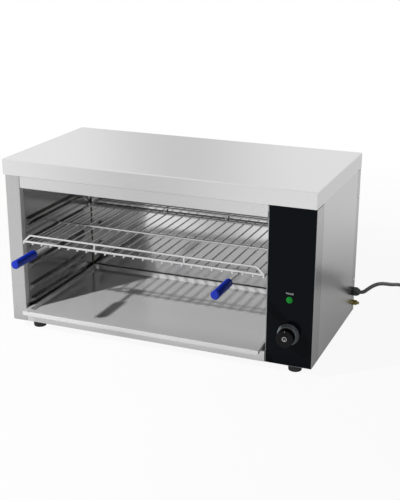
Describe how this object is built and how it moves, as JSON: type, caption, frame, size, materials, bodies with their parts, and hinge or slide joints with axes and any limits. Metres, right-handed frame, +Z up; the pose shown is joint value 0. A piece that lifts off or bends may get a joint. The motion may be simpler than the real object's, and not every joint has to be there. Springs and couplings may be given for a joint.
{
  "type": "electric cheese melter",
  "caption": "Open-fronted electric counter grill with a sliding wire rack on side runners, a drip tray below, overhead heating elements and a control column at the right.",
  "frame": {"origin": "on the table under the middle of the casing with its handles and cable gland", "axes": "+X to the right along the front, +Y from the front to the back, +Z up"},
  "size_m": [0.8223, 0.6417, 0.34],
  "materials": {
    "cover_steel": "brushed stainless steel",
    "panel_steel": "brushed stainless steel",
    "back_steel": "dull stainless steel",
    "screw_steel": "zinc-plated steel",
    "galvanised_steel": "galvanised sheet",
    "rivet_aluminium": "plain aluminium rivet",
    "liner_steel": "brushed stainless steel, heat-dulled",
    "reflector_steel": "bright stainless sheet",
    "mineral_wool": "loose mineral wool mat",
    "fascia_black": "glossy black overlay",
    "lens_green": "glossy translucent green",
    "lamp_plastic": "matte off-white",
    "thermostat_case": "zinc-plated case",
    "capillary_copper": "bare copper",
    "element_sheath": "oxidised sheath",
    "terminal_brass": "bare brass",
    "block_ceramic": "unglazed ceramic",
    "lead_rubber": "silicone-sheathed leads",
    "gland_plastic": "matte black nylon",
    "foot_rubber": "matte black rubber",
    "cord_rubber": "matte dark grey rubber",
    "tie_plastic": "black strap",
    "plug_rubber": "matte black rubber",
    "pin_nickel": "nickel-plated brass",
    "chrome_wire": "bright chromed wire",
    "grip_blue": "glossy deep blue",
    "tray_steel": "brushed stainless steel",
    "shaft_steel": "plated steel",
    "knob_metal": "satin metal ring",
    "knob_black": "satin black plastic"
  },
  "bodies": {
    "casing": {"top_cover": "cover_steel", "left_side_panel": "panel_steel", "right_side_panel": "panel_steel", "back_panel": "back_steel", "back_panel_screws": "screw_steel", "rear_uprights": "galvanised_steel", "side_panel_rivets": "rivet_aluminium", "base_pan": "galvanised_steel", "lower_front_rail": "panel_steel", "front_header": "panel_steel", "liner_left": "liner_steel", "liner_right": "liner_steel", "liner_back": "liner_steel", "cavity_floor": "liner_steel", "reflector": "reflector_steel", "insulation_top": "mineral_wool", "insulation_left": "mineral_wool", "insulation_back": "mineral_wool", "control_panel": "fascia_black", "control_bracket": "galvanised_steel", "pilot_lamp_lens": "lens_green", "pilot_lamp_body": "lamp_plastic", "thermostat_body": "thermostat_case", "thermostat_bulb": "capillary_copper", "capillary_tube": "capillary_copper", "heating_element_front": "element_sheath", "heating_element_middle": "element_sheath", "heating_element_rear": "element_sheath", "element_supports": "reflector_steel", "element_flanges": "galvanised_steel", "element_terminals": "terminal_brass", "terminal_block": "block_ceramic", "wiring_harness": "lead_rubber", "cable_gland_body": "gland_plastic", "cable_gland_nut": "gland_plastic", "cable_gland_locknut": "gland_plastic", "bonding_stud": "terminal_brass", "bonding_nuts": "terminal_brass", "foot_front_left": "foot_rubber", "foot_front_right": "foot_rubber", "foot_rear_left": "foot_rubber", "foot_rear_right": "foot_rubber", "foot_screws": "screw_steel", "power_cord": "cord_rubber", "power_cord_coil": "cord_rubber", "cord_tie": "tie_plastic", "plug_body": "plug_rubber", "plug_pins": "pin_nickel"},
    "rack": {"rack_grid": "chrome_wire", "rack_front_rail": "chrome_wire", "rack_back_rail": "chrome_wire", "handle_rod_left": "chrome_wire", "handle_rod_right": "chrome_wire", "handle_grip_left": "grip_blue", "handle_grip_right": "grip_blue"},
    "drip_tray": {"drip_tray": "tray_steel"},
    "knob": {"thermostat_shaft": "shaft_steel", "knob_skirt": "knob_metal", "thermostat_knob": "knob_black"}
  },
  "joints": [
    {"name": "rack_slide", "type": "slide", "parent": "casing", "child": "rack", "axis": [0, -1, 0], "range_m": [0, 0.25]},
    {"name": "tray_slide", "type": "slide", "parent": "casing", "child": "drip_tray", "axis": [0, -1, 0], "range_m": [0, 0.25]},
    {"name": "knob_turn", "type": "hinge", "parent": "casing", "child": "knob", "pos_m": [0.25485, -0.0993, 0.079], "axis": [0, 1, 0], "range_deg": [0, 270]}
  ]
}
